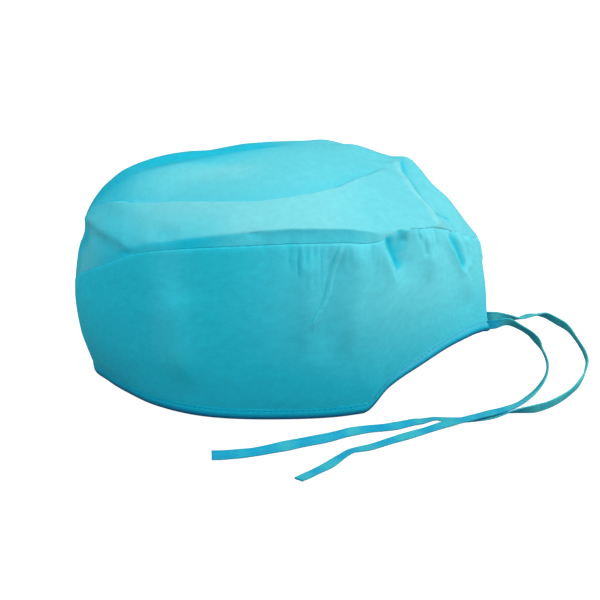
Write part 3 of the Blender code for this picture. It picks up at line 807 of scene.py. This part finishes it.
CROWN_CREASES = (
    # Long fold from the forehead over the near shoulder to the top at the back: the near side
    # stands up to its edge, and the far side drops behind it
    (1.7, 2.0, 26, 0.8, 0.10, LONG_FOLD),
    (-1.9, 26, 2.0, 0.8, 0.10, LONG_FOLD),
    # Overlap that runs down from the forehead to the seam, with a ridge over it and a hollow below
    (2.6, 14, 7, 0.5, 0.15, ((-0.94, -0.10, 0.74), (-0.90, -0.25, 0.735), (-0.83, -0.43, 0.735),
                             (-0.77, -0.59, 0.73), (-0.70, -0.70, 0.71))),
    (-1.8, 2.5, 12, 0.9, 0.1, ((-0.93, -0.16, 0.71), (-0.895, -0.284, 0.715), (-0.83, -0.45, 0.715),
                               (-0.76, -0.616, 0.715), (-0.71, -0.707, 0.70), (-0.66, -0.73, 0.69))),
    (-1.7, 10, 11, 0.0, 0.3, ((-0.96, 0.25, 0.64), (-0.97, 0.0, 0.65), (-0.94, -0.20, 0.65),
                              (-0.88, -0.38, 0.66))),
    # Edge of the far side of the top, which falls away beyond it
    (0.9, 10, 9, 0.7, 0.15, FAR_EDGE[:5]),
    (-2.4, 10, 12, 0.2, 0.2, ((-0.74, 0.06), (-0.60, 0.03), (-0.45, 0.04), (-0.30, 0.09), (-0.12, 0.18),
                              (0.04, 0.30))),
    # Soft dimple over the near side
    (-1.5, 8, 8, 0.2, 0.35, ((-0.60, -0.66), (-0.52, -0.75), (-0.44, -0.83))),
    # Ridge from the top down the back of the near side, and the valley beside it
    (2.8, 4, 26, 0.9, 0.12, BACK_RIDGE),
    (-1.4, 7, 4, 0.8, 0.15, BACK_VALLEY),
    # Small facets where the ridge meets the seam
    (1.0, 5, 4, 0.5, 0.3, ((0.707, -0.50, 0.81), (0.742, -0.455, 0.78), (0.785, -0.35, 0.75))),
    (-1.4, 6, 5, 0.5, 0.3, ((0.784, -0.151, 0.73), (0.80, -0.20, 0.725), (0.822, -0.261, 0.72))),
    # Hook at the front end of the overhang
    (-1.2, 4, 5, 0.6, 0.3, ((-0.185, -0.998, 0.86), (-0.15, -1.0, 0.84), (-0.125, -1.0, 0.82),
                            (-0.086, -1.0, 0.83))),
)
# Painted light and shade along lines in the same columns, as on the band
CROWN_PAINTED_SHADING = (
    (0.65, 1.2, 5.0, 0.5, 0.05, BACK_RIDGE),
    (-0.55, 3.5, 1.6, 0.4, 0.08, BACK_VALLEY),
    (-0.60, 2.5, 1.4, 0.5, 0.08, LONG_FOLD[:8]),
    (0.28, 8, 15, 0.0, 0.3, ((-0.74, -0.12), (-0.50, -0.18), (-0.25, -0.26), (0.0, -0.32))),
)
DOME_ROWS = table(DOME_COLUMNS, DOMES)


def crown_fold_height(x, y):
    """Sum of the broad folds at places in plan."""
    height = np.zeros_like(x)
    place = np.stack([x, y], axis=-1)
    for fold in table(CROWN_FOLD_COLUMNS, CROWN_FOLDS):
        start = np.array([fold["from_x"] * CAP_LENGTH, fold["from_y"] * CAP_WIDTH]) / 2
        run = np.array([fold["to_x"] * CAP_LENGTH, fold["to_y"] * CAP_WIDTH]) / 2 - start
        along = np.clip((place - start) @ run / (run @ run), 0.0, 1.0)
        away = np.linalg.norm(place - start - along[..., None] * run, axis=-1)
        away /= fold["width"] * CAP_WIDTH
        height += fold["depth"] * (CAP_HEIGHT - SEAM_HEIGHT) * np.exp(-away * away)
    return height


def crown_place(across, inward):
    """Places on the outside of the crown, inward being 0 at the seam and 1 at its middle."""
    around = 180.0 + 360.0 * across
    foot = band_point(around, np.ones_like(across))
    turn = at_section(DOME_ROWS, around, "turn")
    rise = np.clip(inward / TURN_SHARE, 0.0, 1.0)
    bulge = TURN_BULGE * turn * np.sin(rise * math.pi / 2)
    edge = foot + unit(plan_direction(around)) * bulge[..., None]
    edge[..., 2] = foot[..., 2] + TURN_HEIGHT * turn * rise
    radius = 1.0 - np.clip((inward - TURN_SHARE) / (1.0 - TURN_SHARE), 0.0, 1.0)
    fullness = 2.0 + (at_section(DOME_ROWS, around, "fullness") - 2.0) * radius
    shoulder = 1.0 + (at_section(DOME_ROWS, around, "shoulder") - 1.0) * radius
    dome = np.maximum(1.0 - radius**fullness, 0.0) ** (1.0 / shoulder)
    point = edge * radius[..., None]
    height = edge[..., 2] + (CAP_HEIGHT - edge[..., 2]) * dome
    fold = crown_fold_height(point[..., 0], point[..., 1])
    point[..., 2] = height + fold * smooth((1.0 - radius) / CROWN_FOLD_START)
    return point


def make_crown():
    shape, across, inward = flat_grid(CROWN_COLUMNS, CROWN_ROWS)
    column, row = np.round(across * CROWN_COLUMNS).astype(int), np.round(inward * CROWN_ROWS).astype(int)
    across = crowd(across)
    lattice = np.zeros((CROWN_ROWS + 1, CROWN_COLUMNS + 1, 3))
    lattice[row, column] = crown_place(across, inward)
    rounded = lattice.copy()
    for _ in range(CROWN_ROUNDING):
        rounded[1:-1] = (rounded[:-2] + 2 * rounded[1:-1] + rounded[2:]) / 4
    around = 180.0 + 360.0 * crowd(np.linspace(0.0, 1.0, CROWN_COLUMNS + 1))
    soft = at_section(DOME_ROWS, around, "soft")
    near_turn = 1.0 - smooth((np.linspace(0.0, 1.0, CROWN_ROWS + 1) - 0.16) / 0.12)
    lattice += (rounded - lattice) * soft[None, :, None] * near_turn[:, None, None]
    places = lattice[row, column]
    normals = lattice_normals(lattice)[row, column]

    def on_crown(x, y, z=None):
        wanted = np.array([x * CAP_LENGTH / 2, y * CAP_WIDTH / 2, (z or 0.0) * CAP_HEIGHT])
        used = 2 if z is None else 3
        return places[np.argmin(np.linalg.norm(places[:, :used] - wanted[:used], axis=1))]

    height = crease_heights(places, normals, CROWN_CREASES, on_crown)
    height += crumple(places, 34.0, 8.0) * 0.00022
    apex = 1.0 - smooth((inward - 0.97) / 0.03)
    places = places + normals * (height * apex)[:, None]
    above = inward / TURN_SHARE * TURN_HEIGHT
    edge = np.zeros((CROWN_COLUMNS + 1, 3))
    edge[column[row == 0]] = places[row == 0]
    seam = band_surface(crowd(np.linspace(0.0, 1.0, CROWN_COLUMNS + 1)), np.ones(CROWN_COLUMNS + 1))[0]
    places += (seam - edge)[column] * np.exp(-above / PUCKER_REACH)[:, None]
    place_corners(shape, places)
    lengths = np.linalg.norm(np.diff(lattice, axis=0), axis=2)
    reached = np.vstack([np.cumsum(lengths[::-1], axis=0)[::-1], np.zeros(CROWN_COLUMNS + 1)])
    laid_out = unit(plan_direction(180.0 + 360.0 * across)) * reached[row, column][:, None]
    lay_pattern(shape, laid_out[:, :2])

    x, y, z = places.T
    # Painted light and shade in the tone: painted shade on the turn over the seam, where the cloth also lies
    # double, over the far side of the top, at the front end and low over the seam towards the forehead;
    # painted light over the near shoulder; painted highlights on ridges and painted shade in valleys from
    # the table of lines, and painted shade in the crease hollows.
    painted_turn_shade = smooth((0.0090 - above) / 0.0025) * at_section(DOME_ROWS, 180.0 + 360.0 * across, "painted_turn_shade")
    plan_x, plan_y = x / (CAP_LENGTH / 2), y / (CAP_WIDTH / 2)
    beyond_edge = plan_y - np.interp(plan_x, *np.array(FAR_EDGE).T)
    before_fold = np.interp(plan_x, *np.array(LONG_FOLD).T) - plan_y
    far_side = smooth((beyond_edge + 0.22) / 0.36) * smooth((0.25 - plan_x) / 0.5)
    near_side = smooth(before_fold / 0.10 + 0.5) * smooth((plan_x + 0.85) / 0.35)
    near_side *= 1.0 - 0.7 * smooth((plan_x - 0.15) / 0.30)
    front = smooth((-x - 0.085) / 0.02) * smooth((0.099 - z) / 0.006)
    low = smooth((0.034 - above) / 0.030) * smooth((-0.12 - plan_x) / 0.3) * smooth((plan_x + 0.95) / 0.25)
    tone = 0.60 + 0.36 * near_side - 0.66 * far_side - 0.10 * front - 0.55 * low
    tone += 1000 * crease_heights(places, normals, CROWN_PAINTED_SHADING, on_crown)
    set_tone(shape, tone - 0.70 * painted_turn_shade - 0.3 * smooth(-height / 0.0030))
    bmesh.ops.remove_doubles(shape, verts=shape.verts, dist=2e-5)
    shape.normal_update()
    finish = cloth_finish("crown_cloth", CROWN_PAINTED_SHADE, CROWN_CLOTH, CROWN_PAINTED_LIGHT, cloud=0.5, bump=0.5)
    crown = add_piece("crown", shape, finish, ["crown"])
    wall = crown.modifiers.new("wall", "SOLIDIFY")
    wall.thickness = CLOTH
    wall.offset = -1.0
    return crown


crown = make_crown()

# Edge binding: the same folded tape sewn over the lower edge, from one side of the split round
# the front to the other, where it runs on into the ties.
BINDING_HEIGHT = 0.0070
# Colours of the binding's tone: painted shade, plain tape and painted light
BINDING_PAINTED_SHADE = (0.001, 0.110, 0.250)
BINDING_CLOTH = (0.002, 0.430, 0.600)
BINDING_PAINTED_LIGHT = (0.080, 0.520, 0.680)
BINDING_OUT = 0.0010
BINDING_COLUMNS = 620
STITCHES = 230
STITCH_RISE = 0.84
STITCH_OUT = 0.45
STITCH_THICKNESS = 0.00034
# Section of the binding: offset out from the cloth in shares of its swell, and height as a share
BINDING_SECTION = (
    (-1.5, 1.00), (-1.9, 0.94), (-1.9, 0.50), (-1.7, 0.16), (-1.1, 0.02), (-0.1, 0.00), (0.7, 0.03),
    (1.5, 0.12), (1.6, 0.26), (1.2, 0.50), (0.8, 0.72), (0.45, 0.80), (0.4, 0.88), (0.2, 0.95),
    (-0.1, 1.00), (-0.6, 0.98),
)


def on_binding(across, out, rise):
    """Places out from the cloth in shares of the binding's swell, and up it in shares of its height."""
    around = 180.0 + 360.0 * across
    up = rise * BINDING_HEIGHT / (seam_height(around) - hem_height(around))
    normals = facing(band_place, across, up)
    normals[:, 2] = 0.0
    normals /= np.linalg.norm(normals, axis=1)[:, None]
    return band_place(across, up) + normals * (out * BINDING_OUT)[:, None]


def make_edge_binding():
    profile = np.array(BINDING_SECTION)
    shape, across, round_share = flat_grid(BINDING_COLUMNS, len(profile))
    corner = np.round(round_share * len(profile)).astype(int) % len(profile)
    ripple = np.sin(across * 2 * math.pi * 210) * 0.06 * (profile[corner, 1] > 0.7)
    places = on_binding(across, profile[corner, 0] + ripple, profile[corner, 1])
    place_corners(shape, places)
    # Painted shade in the tone: the tape darkens to its lower edge, as if in the shadow under the hem, and
    # is darker towards the forehead and lighter towards the nape.
    lit = 0.5 + 0.5 * smooth((places[:, 0] - 0.035) / 0.045)
    set_tone(shape, smooth((profile[corner, 1] - 0.18) / 0.50) * lit)
    scale_pattern(shape, math.pi * (CAP_LENGTH + CAP_WIDTH) / 2, 3 * BINDING_HEIGHT)
    bmesh.ops.remove_doubles(shape, verts=shape.verts, dist=1e-6)
    bmesh.ops.holes_fill(shape, edges=shape.edges)
    bmesh.ops.recalc_face_normals(shape, faces=shape.faces)

    # Thread that holds the binding on, in a row of short stitches below its upper edge
    tone = shape.verts.layers.float["tone"]
    first = (np.arange(STITCHES) + 0.2) / STITCHES
    row = np.full(STITCHES, STITCH_RISE)
    starts = on_binding(first, row * 0.0 + STITCH_OUT, row)
    ends = on_binding(first + 0.6 / STITCHES, row * 0.0 + STITCH_OUT, row)
    for start, end in zip(starts, ends):
        run = Vector(end - start)
        size = (run.length / 2, STITCH_THICKNESS / 2, STITCH_THICKNESS / 2, 1.0)
        spot = Matrix.Translation((start + end) / 2) @ run.to_track_quat("X", "Z").to_matrix().to_4x4()
        made = bmesh.ops.create_uvsphere(
            shape, u_segments=6, v_segments=5, radius=1.0, matrix=spot @ Matrix.Diagonal(size), calc_uvs=True
        )
        for vertex in made["verts"]:
            vertex[tone] = 0.3
    finish = cloth_finish("binding_tape", BINDING_PAINTED_SHADE, BINDING_CLOTH, BINDING_PAINTED_LIGHT, cloud=0.5, bump=0.6)
    return add_piece("edge_binding", shape, finish, ["edge_binding"])


edge_binding = make_edge_binding()

# Floor: a wide pale surface that the cap and its loose ties lie on. It isn't part of the cap.
FLOOR_SIZE = 14.0
FLOOR_GLOW = 0.95


def make_floor():
    shape = bmesh.new()
    bmesh.ops.create_grid(shape, x_segments=1, y_segments=1, size=FLOOR_SIZE / 2)
    bmesh.ops.translate(shape, verts=shape.verts, vec=(0.0, 0.0, -0.0002))
    mesh = bpy.data.meshes.new("floor")
    shape.to_mesh(mesh)
    shape.free()
    floor = bpy.data.objects.new("floor", mesh)
    bpy.context.scene.collection.objects.link(floor)
    finish = bpy.data.materials.new("pale_floor")
    finish.use_nodes = True
    tree = finish.node_tree
    shader = tree.nodes["Principled BSDF"]
    shader.inputs["Base Color"].default_value = (0.30, 0.30, 0.30, 1.0)
    shader.inputs["Roughness"].default_value = 0.9
    shader.inputs["Specular IOR Level"].default_value = 0.1
    shader.inputs["Emission Color"].default_value = (1.0, 1.0, 1.0, 1.0)
    seen = tree.nodes.new("ShaderNodeLightPath")
    glow = calculation(tree, "MULTIPLY", seen.outputs["Is Camera Ray"], FLOOR_GLOW)
    tree.links.new(glow, shader.inputs["Emission Strength"])
    mesh.materials.append(finish)


make_floor()

# Lights: a soft one at the nape's end, a weaker fill at the forehead's end, a low one behind the
# nape, and an even surround.
LIGHTS = (
    ("key", (1.05, -0.50, 0.95), 0.9, 12.6),
    ("fill", (-0.55, -0.60, 1.05), 0.9, 7.1),
    ("back", (1.15, 0.35, 0.55), 0.9, 2.7),
)
for name, place, size, power in LIGHTS:
    lamp = bpy.data.lights.new(name, "AREA")
    lamp.size = size
    lamp.color = (1.0, 0.97, 0.88)
    lamp.energy = power
    light = bpy.data.objects.new(name, lamp)
    light.location = place
    light.rotation_euler = (Vector((0.0, 0.0, 0.05)) - light.location).to_track_quat("-Z", "Y").to_euler()
    bpy.context.scene.collection.objects.link(light)

world = bpy.data.worlds.new("surround")
world.use_nodes = True
world.node_tree.nodes["Background"].inputs["Color"].default_value = (0.20, 0.82, 1.0, 1.0)
world.node_tree.nodes["Background"].inputs["Strength"].default_value = 0.53
bpy.context.scene.world = world
bpy.context.scene.view_settings.view_transform = "Standard"
